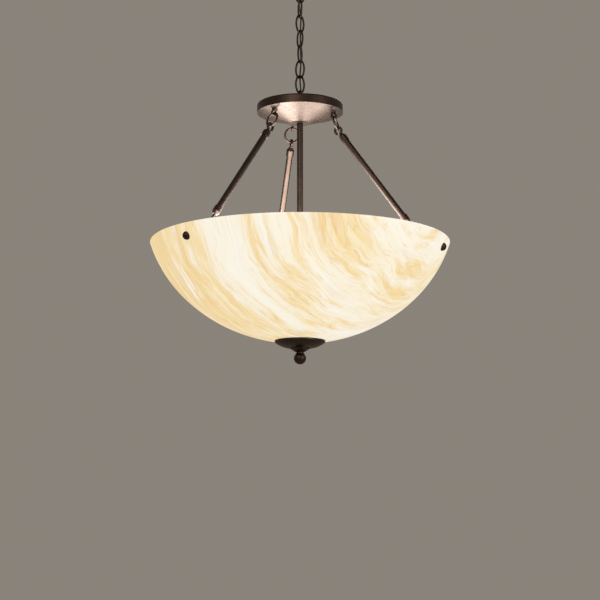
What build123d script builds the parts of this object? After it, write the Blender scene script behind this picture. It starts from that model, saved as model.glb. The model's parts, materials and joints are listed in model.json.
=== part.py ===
from build123d import *

import os
from math import acos, asin, atan2, cos, degrees, radians, sin, sqrt, tan

os.makedirs("parts", exist_ok=True)

# Bowl pendant light: a glass bowl hung by three hooked arms under a spun pan, on a short chain.
# Millimetres, +Z up. The origin is the centre of the ceiling plane, and everything hangs below it.
# Azimuths and turns are angles about Z in degrees. The front of the light faces -Y.

# Clearances
running_gap = 0.05  # a turning bore round its shaft
fit_gap = 0.1  # fixed pieces that slide over each other
seat_gap = 0.3  # curved faces that rest on each other
cord_gap = 0.6  # the cord and the wires that it passes, so that the links can swing

# Threaded pipe of the ceiling set and of the pendant's middle, and its locknuts
pipe_radius = 5.15
pipe_bore_radius = 3.2
locknut_radius = 9.0
locknut_height = 4.0

# Crossbar with slots for the outlet box's screws, 70 to 89 mm apart
crossbar_width = 20.0
crossbar_thickness = 2.5
crossbar_corner = 3.0
crossbar_end = 4.3
screw_slot_spacing = 79.4
screw_slot_length = 24.0
screw_slot_width = 4.8
ground_screw_radius = 2.0
ground_screw_head_radius = 4.0
ground_screw_head_height = 2.5
ground_screw_offset = 17.0

# Ceiling canopy and the loop and screw ring that hold it
canopy_margin = 9.0
canopy_depth = 28.0
canopy_skirt = 6.0
canopy_sheet = 1.0
canopy_ceiling_gap = 0.3
canopy_hole_margin = 1.0
canopy_flat_margin = 6.0
collar_ring_overlap = 5.5
collar_ring_height = 7.0
collar_ring_flutes = 24
collar_ring_flute_radius = 0.9
loop_wire_radius = 2.2
loop_neck_radius = 4.5
ceiling_eye_radius = 9.7
ceiling_neck_height = 4.1
ceiling_loop_turn = -75.0
loop_body_margin = 0.6
loop_body_inside = 8.0
loop_thread_depth = 7.0

# Chain links, from the ceiling down, each turned about the chain's line
link_turns = (15.0, -70.0, 38.0, -56.0, 67.0, -30.0, 30.0)
link_wire_radius = 2.0
link_inner_length = 33.0
link_outer_width = 23.6
link_end_radius = 7.0

# Lamp cord, woven through every second link. A side is where it passes a pair of links.
cord_radius = 1.6
cord_break = 2.4
cord_straight = 7.0
cord_sides = (240.0, 245.0, 70.0, 80.0, 283.0, 288.0, 90.0, 75.0)
wireway_radius = 2.3
ceiling_wireway_offset = 8.6
pan_wireway_offset = 8.0

# Pan
pan_loop_eye_radius = 6.0
pan_loop_turn = -60.0
pan_loop_neck_height = 0.4
pan_loop_collar_radius = 12.0
pan_loop_collar_height = 4.2
pan_radius = 89.1
pan_band_height = 18.2
pan_shoulder = 4.0
pan_dome_rise = 10.6
pan_crown_radius = 13.5
pan_sheet = 1.5
pan_cone_depth = 21.5
pan_flat_radius = 22.0
pan_flange_height = 6.0
pan_eye_inset = 18.5
pan_eye_radius = 5.2
pan_eye_wire_radius = 1.8
pan_eye_collar_radius = 6.0
pan_eye_collar_height = 1.9
pan_eye_shank_radius = 2.5
pan_eye_nut_radius = 5.5
pan_eye_nut_height = 4.0

# Arms, with rings above and open hooks at both ends. The bottom hooks have long straight legs.
arm_count = 3
first_arm_azimuth = -17.3
ring_radius = 14.8
ring_wire_radius = 2.1
ring_lean = 17.0
hook_radius = 6.8
hook_wire_radius = 2.6
hook_bend_radius = 4.0
hook_open_angle = 100.0
hook_lip_radius = 5.0
hook_lip_angle = 60.0
bottom_hook_radius = 5.0
bottom_hook_wire_radius = 2.1
bottom_hook_leg = 31.0
bottom_hook_tip_gap = 4.0
ferrule_nose = 9.8
ferrule_nose_radius = 4.0
ferrule_taper = 6.0
ferrule_radius = 8.0
ferrule_length = 19.0
ferrule_socket_depth = 10.0
arm_tube_radius = 6.35
arm_tube_wall = 1.1

# Glass bowl: the lower part of a flattened ball, whose waist would be wider than the rim
bowl_drop = 274.2
bowl_rim_radius = 307.0
bowl_waist_overhang = 12.0
bowl_depth = 205.4
bowl_wall = 6.0
bowl_lip_radius = 2.6

# Eye bolts through the bowl's wall, square to it
bolt_below_rim = 24.5
bolt_radius = 2.5
bolt_hole_margin = 0.7
bowl_eye_radius = 7.5
bowl_eye_reach = 54.0
bowl_gasket_radius = 8.5
bowl_gasket_thickness = 1.5
bowl_nut_radius = 5.5
bowl_nut_height = 4.5
cap_nut_radius = 8.0
cap_nut_flange = 1.5
cap_nut_dome_height = 5.0
cap_nut_bore_depth = 4.0

# Stem and the lamp cluster
stem_radius = 6.35
cluster_below_rim = 83.0
cluster_radius = 30.0
cluster_height = 34.0
cluster_sheet = 1.5
cluster_cap_rim = 6.0
lamp_count = 3
first_lamp_azimuth = 42.0
lamp_tilt = 20.0
lamp_rise = 9.0
socket_stem_radius = 5.0
socket_stem_inside = 8.0
socket_stem_length = 21.0
socket_start = 38.0
socket_length = 46.0
socket_back = 8.0
socket_wall = 2.8
socket_edge = 1.2
screw_shell_sheet = 0.8
screw_shell_inset = 6.0
contact_radius = 6.0
contact_thickness = 2.4
bulb_base_radius = 13.0
bulb_base_length = 22.0
bulb_tip_radius = 5.0
bulb_tip_length = 3.0
bulb_tip_taper = 4.0
bulb_neck_length = 10.0
bulb_globe_radius = 30.0
bulb_globe_distance = 59.0

# Bottom of the bowl
bowl_hole_margin = 1.0
seat_gasket_radius = 22.0
seat_gasket_thickness = 2.0
seat_washer_radius = 20.0
seat_washer_thickness = 2.0
plate_radius = 51.5
plate_edge_height = 2.0
plate_saucer_depth = 12.2
plate_bulge = 2.6
plate_boss_radius = 20.0
plate_boss_step = 1.0
plate_boss_depth = 7.0
plate_neck_radius = 9.2
plate_sheet = 1.2
plate_gasket_width = 4.0
plate_gasket_thickness = 1.2
finial_neck_radius = 7.6
finial_ball_radius = 12.5
finial_ball_drop = 12.6
finial_bore_depth = 13.0
finial_bore_spare = 1.0

# Levels of the ceiling set
crossbar_length = screw_slot_spacing + screw_slot_length + 2 * crossbar_end
canopy_radius = crossbar_length / 2 + canopy_margin
loop_body_radius = ceiling_eye_radius + loop_wire_radius + loop_body_margin
canopy_hole_radius = loop_body_radius + canopy_hole_margin
collar_ring_radius = canopy_hole_radius + collar_ring_overlap
canopy_flat_radius = collar_ring_radius + canopy_flat_margin
loop_body_top = loop_body_inside - canopy_depth
collar_ring_top = -canopy_depth - seat_gap
loop_body_bottom = collar_ring_top - collar_ring_height
ceiling_eye_z = loop_body_bottom - ceiling_neck_height - loop_wire_radius - ceiling_eye_radius

# Levels of the chain. A crossing is the top of the wire that the next piece hangs on.
chain_turns = (ceiling_loop_turn, *link_turns, pan_loop_turn)
link_pitch = link_inner_length - seat_gap
first_crossing_z = ceiling_eye_z - ceiling_eye_radius + loop_wire_radius
crossing_levels = [first_crossing_z - link_pitch * n for n in range(len(link_turns) + 1)]

# Levels of the pan and the bowl
pan_loop_eye_z = crossing_levels[-1] + seat_gap - pan_loop_eye_radius + loop_wire_radius
pan_loop_eye_bottom = pan_loop_eye_z - pan_loop_eye_radius - loop_wire_radius
pan_collar_top = pan_loop_eye_bottom - pan_loop_neck_height
pan_top = pan_collar_top - pan_loop_collar_height
pan_band_top = pan_top - pan_dome_rise
pan_edge_z = pan_band_top - pan_band_height
pan_flat_z = pan_edge_z - pan_cone_depth
rim_z = pan_edge_z - bowl_drop
bowl_half_width = bowl_rim_radius + bowl_waist_overhang
bowl_half_height = bowl_depth / (1 - sqrt(1 - (bowl_rim_radius / bowl_half_width) ** 2))
bowl_waist_z = rim_z - bowl_depth + bowl_half_height

# Azimuths of what repeats
arm_azimuths = [first_arm_azimuth + 360 / arm_count * n for n in range(arm_count)]
lamp_azimuths = [first_lamp_azimuth + 360 / lamp_count * n for n in range(lamp_count)]


def save(piece, name):
    """Label a finished piece and write it to its own file."""
    piece.part.label = name
    export_step(piece.part, f"parts/{name}.step")


def radial_plane(azimuth):
    """Upright plane through the Z axis: local x is the radius, local y is the height."""
    turn = radians(azimuth)
    return Plane(origin=(0, 0, 0), x_dir=(cos(turn), sin(turn), 0), z_dir=(sin(turn), -cos(turn), 0))


def place(azimuth, spot):
    """Point, or direction, in space of a radius and a height on the upright plane at an azimuth."""
    return radial_plane(azimuth).from_local_coords(Vector(spot.X, spot.Y, 0))


def polar(radius, azimuth, height):
    """Point at a radius and an azimuth round the Z axis."""
    return Vector(radius * cos(radians(azimuth)), radius * sin(radians(azimuth)), height)


def upright_plane(turn, height):
    """Upright plane turned about Z, with its origin on the axis at a height."""
    return Plane(origin=(0, 0, height), x_dir=polar(1, turn, 0), z_dir=radial_plane(turn).z_dir)


def seat_plane(azimuth, spot, heading):
    """Plane at a spot of an upright plane, facing along a heading in it."""
    return Plane(origin=place(azimuth, spot), z_dir=place(azimuth, heading))


def bowl_level(inset, distance):
    """Height of the bowl's surface at a distance from the axis; inset is 0 outside, the wall inside."""
    slope = distance / (bowl_half_width - inset)
    return bowl_waist_z - (bowl_half_height - inset) * sqrt(1 - slope**2)


# Ceiling set
with BuildPart() as crossbar:
    with BuildSketch(Plane.XY):
        RectangleRounded(crossbar_length, crossbar_width, crossbar_corner)
        Circle(pipe_radius + fit_gap, mode=Mode.SUBTRACT)
        with GridLocations(screw_slot_spacing, 0, 2, 1):
            SlotOverall(screw_slot_length, screw_slot_width, mode=Mode.SUBTRACT)
        with Locations((ground_screw_offset, 0)):
            Circle(ground_screw_radius + fit_gap, mode=Mode.SUBTRACT)
    extrude(amount=-crossbar_thickness)
save(crossbar, "crossbar")

with BuildPart() as ground_screw:
    with BuildSketch(Plane.XY.offset(-crossbar_thickness)):
        with Locations((ground_screw_offset, 0)):
            Circle(ground_screw_head_radius)
    extrude(amount=-ground_screw_head_height)
    fillet(ground_screw.edges().group_by(Axis.Z)[0], ground_screw_head_height / 3)
    with BuildSketch(Plane.XY.offset(-crossbar_thickness)):
        with Locations((ground_screw_offset, 0)):
            Circle(ground_screw_radius)
    extrude(amount=crossbar_thickness)
save(ground_screw, "ground_screw")

nipple_bottom = loop_body_top - loop_thread_depth
with BuildPart() as canopy_nipple:
    with BuildSketch(Plane.XY.offset(nipple_bottom)):
        Circle(pipe_radius)
        Circle(pipe_bore_radius, mode=Mode.SUBTRACT)
    extrude(amount=-nipple_bottom)
save(canopy_nipple, "canopy_nipple")

with BuildPart() as nipple_locknut:
    with BuildSketch(Plane.XY.offset(-crossbar_thickness)):
        RegularPolygon(locknut_radius, 6)
        Circle(pipe_radius + fit_gap, mode=Mode.SUBTRACT)
    extrude(amount=-locknut_height)
save(nipple_locknut, "nipple_locknut")

ceiling_wireway = polar(ceiling_wireway_offset, ceiling_loop_turn - 90, loop_body_top)
with BuildPart() as ceiling_loop:
    with BuildSketch(Plane.XY.offset(loop_body_bottom)):
        Circle(loop_body_radius)
    extrude(amount=loop_body_top - loop_body_bottom)
    with BuildSketch(Plane.XY.offset(loop_body_bottom)):
        Circle(loop_neck_radius)
    extrude(amount=-ceiling_neck_height - loop_wire_radius)
    with Locations(Location(upright_plane(ceiling_loop_turn, ceiling_eye_z))):
        Torus(ceiling_eye_radius, loop_wire_radius)
    with Locations((0, 0, loop_body_top)):
        Hole(pipe_radius + fit_gap, depth=loop_thread_depth + fit_gap)
    with Locations(ceiling_wireway):
        Hole(wireway_radius, depth=loop_body_top - loop_body_bottom)
save(ceiling_loop, "ceiling_loop")

canopy_top = -canopy_ceiling_gap
canopy_dome_width = canopy_radius - canopy_flat_radius
canopy_dome_height = canopy_depth - canopy_skirt
with BuildPart() as ceiling_canopy:
    with BuildSketch(Plane.XZ):
        with BuildLine():
            Line((canopy_radius, canopy_top), (canopy_radius, -canopy_skirt))
            EllipticalCenterArc(
                (canopy_flat_radius, -canopy_skirt),
                canopy_dome_width,
                canopy_dome_height,
                start_angle=270,
                arc_size=90,
            )
            Line((canopy_flat_radius, -canopy_depth), (canopy_hole_radius, -canopy_depth))
            Line((canopy_hole_radius, -canopy_depth), (canopy_hole_radius, canopy_sheet - canopy_depth))
            Line(
                (canopy_hole_radius, canopy_sheet - canopy_depth),
                (canopy_flat_radius, canopy_sheet - canopy_depth),
            )
            EllipticalCenterArc(
                (canopy_flat_radius, -canopy_skirt),
                canopy_dome_width - canopy_sheet,
                canopy_dome_height - canopy_sheet,
                start_angle=270,
                arc_size=90,
            )
            Line((canopy_radius - canopy_sheet, -canopy_skirt), (canopy_radius - canopy_sheet, canopy_top))
            Line((canopy_radius - canopy_sheet, canopy_top), (canopy_radius, canopy_top))
        make_face()
    revolve(axis=Axis.Z)
save(ceiling_canopy, "ceiling_canopy")

with BuildPart() as collar_ring:
    with BuildSketch(Plane.XY.offset(collar_ring_top)):
        Circle(collar_ring_radius)
        Circle(loop_body_radius + running_gap, mode=Mode.SUBTRACT)
        with PolarLocations(collar_ring_radius, collar_ring_flutes):
            Circle(collar_ring_flute_radius, mode=Mode.SUBTRACT)
    extrude(amount=-collar_ring_height)
save(collar_ring, "collar_ring")

# Chain links. A link's middle line is an oval of four arcs.
link_half_width = link_outer_width / 2 - link_wire_radius
link_half_length = link_inner_length / 2 + link_wire_radius
end_centre = link_half_length - link_end_radius
side_radius = (end_centre**2 + link_half_width**2 - link_end_radius**2) / (
    2 * (link_half_width - link_end_radius)
)
side_centre = side_radius - link_half_width
side_half_turn = degrees(atan2(end_centre, side_centre))

for number, turn in enumerate(link_turns, start=1):
    link_plane = upright_plane(turn, crossing_levels[number - 1] + seat_gap - link_inner_length / 2)
    with BuildPart() as chain_link:
        with BuildLine(link_plane) as link_line:
            CenterArc((-side_centre, 0), side_radius, -side_half_turn, 2 * side_half_turn)
            CenterArc((0, end_centre), link_end_radius, side_half_turn, 180 - 2 * side_half_turn)
            CenterArc((side_centre, 0), side_radius, 180 - side_half_turn, 2 * side_half_turn)
            CenterArc((0, -end_centre), link_end_radius, 180 + side_half_turn, 180 - 2 * side_half_turn)
        with BuildSketch(Plane(origin=link_line.line @ 0, z_dir=link_line.line % 0)):
            Circle(link_wire_radius)
        sweep()
    save(chain_link, f"chain_link_{number}")


# Lamp cord. It passes each crossing midway between the planes of the two pieces that meet there.
def crossing_spot(number, height):
    """Point where the cord passes a crossing, clear of both wires, at a height."""
    upper_turn = chain_turns[number]
    lower_turn = chain_turns[number + 1]
    middles = [(upper_turn + lower_turn) / 2 + 90 * quarter for quarter in range(4)]
    middle = max(middles, key=lambda angle: cos(radians(angle - cord_sides[number])))
    at_loop = number in (0, len(link_turns))
    wire_radius = loop_wire_radius if at_loop else link_wire_radius
    clear = wire_radius + cord_radius + cord_gap
    return polar(clear / abs(sin(radians(middle - upper_turn))), middle, height)


def corner_radii(points):
    """Largest bend at each inner point of a cord that its two runs leave room for."""
    radii = []
    for before, point, after in zip(points, points[1:], points[2:]):
        turn = radians((point - before).get_angle(after - point))
        run = min((point - before).length, (after - point).length)
        radii.append(0.45 * run / tan(turn / 2))
    return radii


cord_routes = {}
cord_routes["cord_run_top"] = [
    crossing_spot(0, crossing_levels[0] + (seat_gap + cord_break) / 2),
    crossing_spot(0, crossing_levels[0] + cord_straight),
    polar(ceiling_wireway_offset, ceiling_loop_turn - 90, loop_body_bottom - cord_straight),
    polar(ceiling_wireway_offset, ceiling_loop_turn - 90, loop_body_top + cord_straight),
]
for number in range(1, len(link_turns) + 1):
    above = crossing_levels[number - 1]
    below = crossing_levels[number]
    cord_routes[f"cord_run_{number}"] = [
        crossing_spot(number - 1, above + (seat_gap - cord_break) / 2),
        crossing_spot(number - 1, above - cord_straight),
        crossing_spot(number, below + cord_straight),
        crossing_spot(number, below + (seat_gap + cord_break) / 2),
    ]
cord_routes["cord_run_bottom"] = [
    crossing_spot(len(link_turns), crossing_levels[-1] + (seat_gap - cord_break) / 2),
    crossing_spot(len(link_turns), crossing_levels[-1] - cord_straight),
    polar(pan_wireway_offset, pan_loop_turn + 90, pan_collar_top + 2 * cord_radius),
    polar(pan_wireway_offset, pan_loop_turn + 90, pan_top - pan_sheet / 2),
]
for name, route in cord_routes.items():
    radii = corner_radii(route)
    with BuildPart() as cord_run:
        with BuildLine() as cord_line:
            FilletPolyline(*route, radius=radii)
        with BuildSketch(Plane(origin=cord_line.line @ 0, z_dir=cord_line.line % 0)):
            Circle(cord_radius)
        sweep()
    save(cord_run, name)
    print(name, "bend radii", [round(radius, 1) for radius in radii])

# Pan
with BuildPart() as pan_loop:
    with BuildSketch(Plane.XY.offset(pan_top)):
        Circle(pan_loop_collar_radius)
    extrude(amount=pan_loop_collar_height)
    fillet(pan_loop.edges().group_by(Axis.Z)[-1], pan_loop_collar_height / 6)
    with BuildSketch(Plane.XY.offset(pan_collar_top)):
        Circle(loop_neck_radius)
    extrude(amount=pan_loop_neck_height + loop_wire_radius)
    with Locations(Location(upright_plane(pan_loop_turn, pan_loop_eye_z))):
        Torus(pan_loop_eye_radius, loop_wire_radius)
    with Locations((0, 0, pan_top)):
        Cylinder(
            pipe_radius + fit_gap,
            pan_loop_collar_height - pan_sheet,
            align=(Align.CENTER, Align.CENTER, Align.MIN),
            mode=Mode.SUBTRACT,
        )
    with Locations(polar(pan_wireway_offset, pan_loop_turn + 90, pan_collar_top)):
        Hole(wireway_radius, depth=pan_loop_collar_height)
save(pan_loop, "pan_loop")

with BuildPart() as pan_cover:
    with BuildSketch(Plane.XZ):
        with BuildLine():
            Polyline(
                (0, pan_edge_z),
                (pan_radius, pan_edge_z),
                (pan_radius, pan_band_top),
                (pan_crown_radius, pan_top),
                (0, pan_top),
                close=True,
            )
        make_face()
    revolve(axis=Axis.Z)
    fillet(pan_cover.edges().filter_by(GeomType.CIRCLE).group_by(Axis.Z)[1], pan_shoulder)
    offset(amount=-pan_sheet, openings=pan_cover.faces().sort_by(Axis.Z)[0])
    with Locations((0, 0, pan_top)):
        Hole(pipe_radius + fit_gap, depth=pan_sheet)
    with Locations(polar(pan_wireway_offset, pan_loop_turn + 90, pan_top)):
        Hole(wireway_radius, depth=pan_sheet)
save(pan_cover, "pan_cover")

underplate_radius = pan_radius - pan_sheet - fit_gap
cone_width = underplate_radius - pan_flat_radius
cone_lean = atan2(pan_cone_depth, cone_width)
cone_sheet = pan_sheet / cos(cone_lean)
cone_out = Vector(sin(cone_lean), -cos(cone_lean))
pan_eye_seat_radius = pan_radius - pan_eye_inset
pan_eye_seat = Vector(
    pan_eye_seat_radius,
    pan_edge_z - pan_cone_depth * (underplate_radius - pan_eye_seat_radius) / cone_width,
)
with BuildPart() as pan_underplate:
    with BuildSketch(Plane.XZ):
        with BuildLine():
            Polyline(
                (pipe_radius + fit_gap, pan_flat_z),
                (pan_flat_radius, pan_flat_z),
                (underplate_radius, pan_edge_z),
                (underplate_radius, pan_edge_z + pan_flange_height),
                (underplate_radius - pan_sheet, pan_edge_z + pan_flange_height),
                (underplate_radius - pan_sheet, pan_edge_z + cone_sheet - pan_sheet * tan(cone_lean)),
                (pan_flat_radius, pan_flat_z + cone_sheet),
                (pipe_radius + fit_gap, pan_flat_z + cone_sheet),
                close=True,
            )
        make_face()
    revolve(axis=Axis.Z)
    for azimuth in arm_azimuths:
        with Locations(Location(seat_plane(azimuth, pan_eye_seat, cone_out))):
            Cylinder(pan_eye_shank_radius + fit_gap, 4 * pan_sheet, mode=Mode.SUBTRACT)
save(pan_underplate, "pan_underplate")

with BuildPart() as pan_locknuts:
    for level in (pan_flat_z + cone_sheet, pan_top - pan_sheet - locknut_height):
        with BuildSketch(Plane.XY.offset(level)):
            RegularPolygon(locknut_radius, 6)
            Circle(pipe_radius + fit_gap, mode=Mode.SUBTRACT)
        extrude(amount=locknut_height)
save(pan_locknuts, "pan_locknuts")

pan_eye_collar_top = pan_eye_seat + cone_out * fit_gap
pan_eye_centre = pan_eye_collar_top + cone_out * (pan_eye_collar_height + pan_eye_radius)
pan_eye_shank_length = pan_sheet + seat_gap + pan_eye_nut_height
with BuildPart() as pan_eyes:
    for azimuth in arm_azimuths:
        with BuildSketch(seat_plane(azimuth, pan_eye_collar_top, cone_out)):
            Circle(pan_eye_collar_radius)
        extrude(amount=pan_eye_collar_height, taper=15)
        with BuildSketch(seat_plane(azimuth, pan_eye_collar_top, cone_out)):
            Circle(pan_eye_shank_radius)
        extrude(amount=-pan_eye_shank_length)
        eye_plane = Plane(origin=place(azimuth, pan_eye_centre), z_dir=radial_plane(azimuth).z_dir)
        with Locations(Location(eye_plane)):
            Torus(pan_eye_radius, pan_eye_wire_radius)
save(pan_eyes, "pan_eyes")

pan_eye_nut_seat = pan_eye_seat - cone_out * (pan_sheet + seat_gap)
with BuildPart() as pan_eye_nuts:
    for azimuth in arm_azimuths:
        with BuildSketch(seat_plane(azimuth, pan_eye_nut_seat, cone_out)):
            RegularPolygon(pan_eye_nut_radius, 6)
            Circle(pan_eye_shank_radius + fit_gap, mode=Mode.SUBTRACT)
        extrude(amount=-pan_eye_nut_height)
save(pan_eye_nuts, "pan_eye_nuts")

# Glass bowl
bolt_depth = bowl_waist_z - rim_z + bolt_below_rim
bolt_seat_radius = bowl_half_width * sqrt(1 - (bolt_depth / bowl_half_height) ** 2)
bolt_seat = Vector(bolt_seat_radius, rim_z - bolt_below_rim)
bolt_out = Vector(bolt_seat_radius / bowl_half_width**2, -bolt_depth / bowl_half_height**2).normalized()
bowl_hole_radius = pipe_radius + bowl_hole_margin


def bowl_arc(inset):
    """Arc of the bowl's wall from its bottom hole to its rim; inset is 0 outside, the wall inside."""
    half_width = bowl_half_width - inset
    half_height = bowl_half_height - inset
    hole_angle = degrees(asin(bowl_hole_radius / half_width))
    rim_angle = degrees(acos((bowl_waist_z - rim_z) / half_height))
    return EllipticalCenterArc(
        (0, bowl_waist_z),
        half_width,
        half_height,
        start_angle=270 + hole_angle,
        arc_size=rim_angle - hole_angle,
    )


with BuildPart() as glass_bowl:
    with BuildSketch(Plane.XZ):
        with BuildLine():
            outside = bowl_arc(0)
            inside = bowl_arc(bowl_wall)
            Line(outside @ 1, inside @ 1)
            Line(outside @ 0, inside @ 0)
        make_face()
    revolve(axis=Axis.Z)
    fillet(glass_bowl.edges().group_by(Axis.Z)[-1], bowl_lip_radius)
    for azimuth in arm_azimuths:
        wall_middle = bolt_seat - bolt_out * (bowl_wall / 2)
        with Locations(Location(seat_plane(azimuth, wall_middle, bolt_out))):
            Cylinder(bolt_radius + bolt_hole_margin, 2 * bowl_wall, mode=Mode.SUBTRACT)
save(glass_bowl, "glass_bowl")

# Eye bolts and what clamps them to the bowl's wall, from the eye outwards
bottom_anchor = bolt_seat - bolt_out * (bowl_wall + bowl_eye_reach)
bowl_eye_centre = bottom_anchor + bolt_out * bowl_eye_radius
bolt_start = bottom_anchor + bolt_out * (2 * bowl_eye_radius)
bolt_seat_height = sqrt((bowl_half_width * bolt_out.X) ** 2 + (bowl_half_height * bolt_out.Y) ** 2)
bowl_bend_radius = (bowl_half_width * bowl_half_height) ** 2 / bolt_seat_height**3 - bowl_wall
gasket_hollow = bowl_bend_radius - sqrt(bowl_bend_radius**2 - bowl_gasket_radius**2)
inner_gasket_seat = bolt_seat - bolt_out * (bowl_wall + gasket_hollow + fit_gap)
inner_nut_seat = inner_gasket_seat - bolt_out * bowl_gasket_thickness
outer_gasket_seat = bolt_seat + bolt_out * fit_gap
cap_nut_seat = outer_gasket_seat + bolt_out * bowl_gasket_thickness
bolt_length = (cap_nut_seat - bolt_start).length + cap_nut_bore_depth - fit_gap
eye_facing = Vector(-bolt_out.Y, bolt_out.X)
with BuildPart() as bowl_eye_bolts:
    for azimuth in arm_azimuths:
        with Locations(Location(seat_plane(azimuth, bowl_eye_centre, eye_facing))):
            Torus(bowl_eye_radius, bolt_radius)
        with BuildSketch(seat_plane(azimuth, bolt_start, bolt_out)):
            Circle(bolt_radius)
        extrude(amount=bolt_length)
save(bowl_eye_bolts, "bowl_eye_bolts")

with BuildPart() as bowl_inner_gaskets:
    for azimuth in arm_azimuths:
        with BuildSketch(seat_plane(azimuth, inner_gasket_seat, bolt_out)):
            Circle(bowl_gasket_radius)
            Circle(bolt_radius + fit_gap, mode=Mode.SUBTRACT)
        extrude(amount=-bowl_gasket_thickness)
save(bowl_inner_gaskets, "bowl_inner_gaskets")

with BuildPart() as bowl_inner_nuts:
    for azimuth in arm_azimuths:
        with BuildSketch(seat_plane(azimuth, inner_nut_seat, bolt_out)):
            RegularPolygon(bowl_nut_radius, 6)
            Circle(bolt_radius + fit_gap, mode=Mode.SUBTRACT)
        extrude(amount=-bowl_nut_height)
save(bowl_inner_nuts, "bowl_inner_nuts")

with BuildPart() as bowl_outer_gaskets:
    for azimuth in arm_azimuths:
        with BuildSketch(seat_plane(azimuth, outer_gasket_seat, bolt_out)):
            Circle(bowl_gasket_radius)
            Circle(bolt_radius + fit_gap, mode=Mode.SUBTRACT)
        extrude(amount=bowl_gasket_thickness)
save(bowl_outer_gaskets, "bowl_outer_gaskets")

dome_radius = (cap_nut_radius**2 + cap_nut_dome_height**2) / (2 * cap_nut_dome_height)
dome_half_turn = degrees(asin(cap_nut_radius / dome_radius))
dome_centre = cap_nut_flange + cap_nut_dome_height - dome_radius
with BuildPart() as bowl_cap_nuts:
    for azimuth in arm_azimuths:
        nut_plane = Plane(
            origin=place(azimuth, cap_nut_seat),
            x_dir=place(azimuth, bolt_out),
            z_dir=radial_plane(azimuth).z_dir,
        )
        with BuildSketch(nut_plane):
            with BuildLine():
                dome = CenterArc((dome_centre, 0), dome_radius, 0, dome_half_turn)
                Polyline(
                    dome @ 1,
                    (0, cap_nut_radius),
                    (0, bolt_radius + fit_gap),
                    (cap_nut_bore_depth, bolt_radius + fit_gap),
                    (cap_nut_bore_depth, 0),
                    dome @ 0,
                )
            make_face()
        revolve(axis=Axis(nut_plane.origin, nut_plane.x_dir))
save(bowl_cap_nuts, "bowl_cap_nuts")

# Arms. The rings hang from the pan's eyes with a lean of their own. A tube's line passes through the
# middle of the upper hook's bow and outside the lower one's.
ring_rise = Vector(-sin(radians(ring_lean)), cos(radians(ring_lean)))
ring_side = Vector(-ring_rise.Y, ring_rise.X)
ring_top = pan_eye_centre - ring_rise * (pan_eye_radius - pan_eye_wire_radius - ring_wire_radius - seat_gap)
ring_centre = ring_top - ring_rise * ring_radius
ring_bottom = ring_centre - ring_rise * ring_radius
top_bow = ring_bottom - ring_rise * (hook_radius - hook_wire_radius - ring_wire_radius - seat_gap)
bottom_seat = bottom_hook_radius - bottom_hook_wire_radius - bolt_radius - seat_gap
bottom_bow = bottom_anchor + (top_bow - bottom_anchor).normalized() * bottom_seat
bow_line = top_bow - bottom_bow
arm_turn = degrees(asin(bottom_hook_radius / bow_line.length))
arm_rise = bow_line.normalized().rotate(Axis.Z, arm_turn)
arm_inner_side = Vector(-arm_rise.Y, arm_rise.X)
bottom_hook_origin = bottom_bow - arm_inner_side * bottom_hook_radius

for number, azimuth in enumerate(arm_azimuths, start=1):
    with BuildPart() as pan_ring:
        with Locations(Location(seat_plane(azimuth, ring_centre, ring_side))):
            Torus(ring_radius, ring_wire_radius)
    save(pan_ring, f"pan_ring_{number}")

# The wire of a top hook leaves its ferrule on the arm's line, swings out and round the bow's centre,
# and ends in a lip that is bent away from the arm.
hook_bend_start = -sqrt((hook_radius + hook_bend_radius) ** 2 - hook_bend_radius**2)
hook_bend_angle = degrees(atan2(hook_bend_radius, -hook_bend_start))


def ferrule_socket(nose):
    """Local x of the floor of a ferrule's socket, for the distance of its nose from the bow."""
    return ferrule_socket_depth - ferrule_length - nose


def top_hook_line(inner):
    """Middle line of a top hook's wire; inner is the sign of the local y that faces the stem."""
    lip_centre = hook_radius + hook_lip_radius
    lip_out = lip_centre * sin(radians(hook_open_angle))
    Line((ferrule_socket(ferrule_nose), 0), (hook_bend_start, 0))
    CenterArc(
        (hook_bend_start, -inner * hook_bend_radius),
        hook_bend_radius,
        inner * 90,
        inner * (hook_bend_angle - 90),
    )
    CenterArc(
        (0, 0),
        hook_radius,
        inner * (hook_bend_angle - 180),
        inner * (180 - hook_bend_angle + hook_open_angle),
    )
    CenterArc(
        (lip_centre * cos(radians(hook_open_angle)), inner * lip_out),
        hook_lip_radius,
        inner * (hook_open_angle + 180),
        -inner * hook_lip_angle,
    )


def bottom_hook_line(inner):
    """Middle line of a bottom hook's wire: a shank, a half turn and a straight leg back."""
    leg_out = 2 * inner * bottom_hook_radius
    Line((ferrule_socket(bottom_hook_leg), 0), (0, 0))
    CenterArc((0, inner * bottom_hook_radius), bottom_hook_radius, -inner * 90, inner * 180)
    Line((0, leg_out), (bottom_hook_tip_gap - bottom_hook_leg, leg_out))


def ferrule_outline(nose):
    """Half outline of a ferrule along local x, with a socket for the end of the tube."""
    socket = ferrule_socket(nose)
    Polyline(
        (socket, 0),
        (-nose, 0),
        (-nose, ferrule_nose_radius),
        (-nose - ferrule_taper, ferrule_radius),
        (-nose - ferrule_length, ferrule_radius),
        (-nose - ferrule_length, arm_tube_radius + fit_gap),
        (socket, arm_tube_radius + fit_gap),
        close=True,
    )


def hook_plane(azimuth, spot, heading):
    """Plane of a hook: local x points from its ferrule to its bow."""
    return Plane(
        origin=place(azimuth, spot), x_dir=place(azimuth, heading), z_dir=radial_plane(azimuth).z_dir
    )


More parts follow.
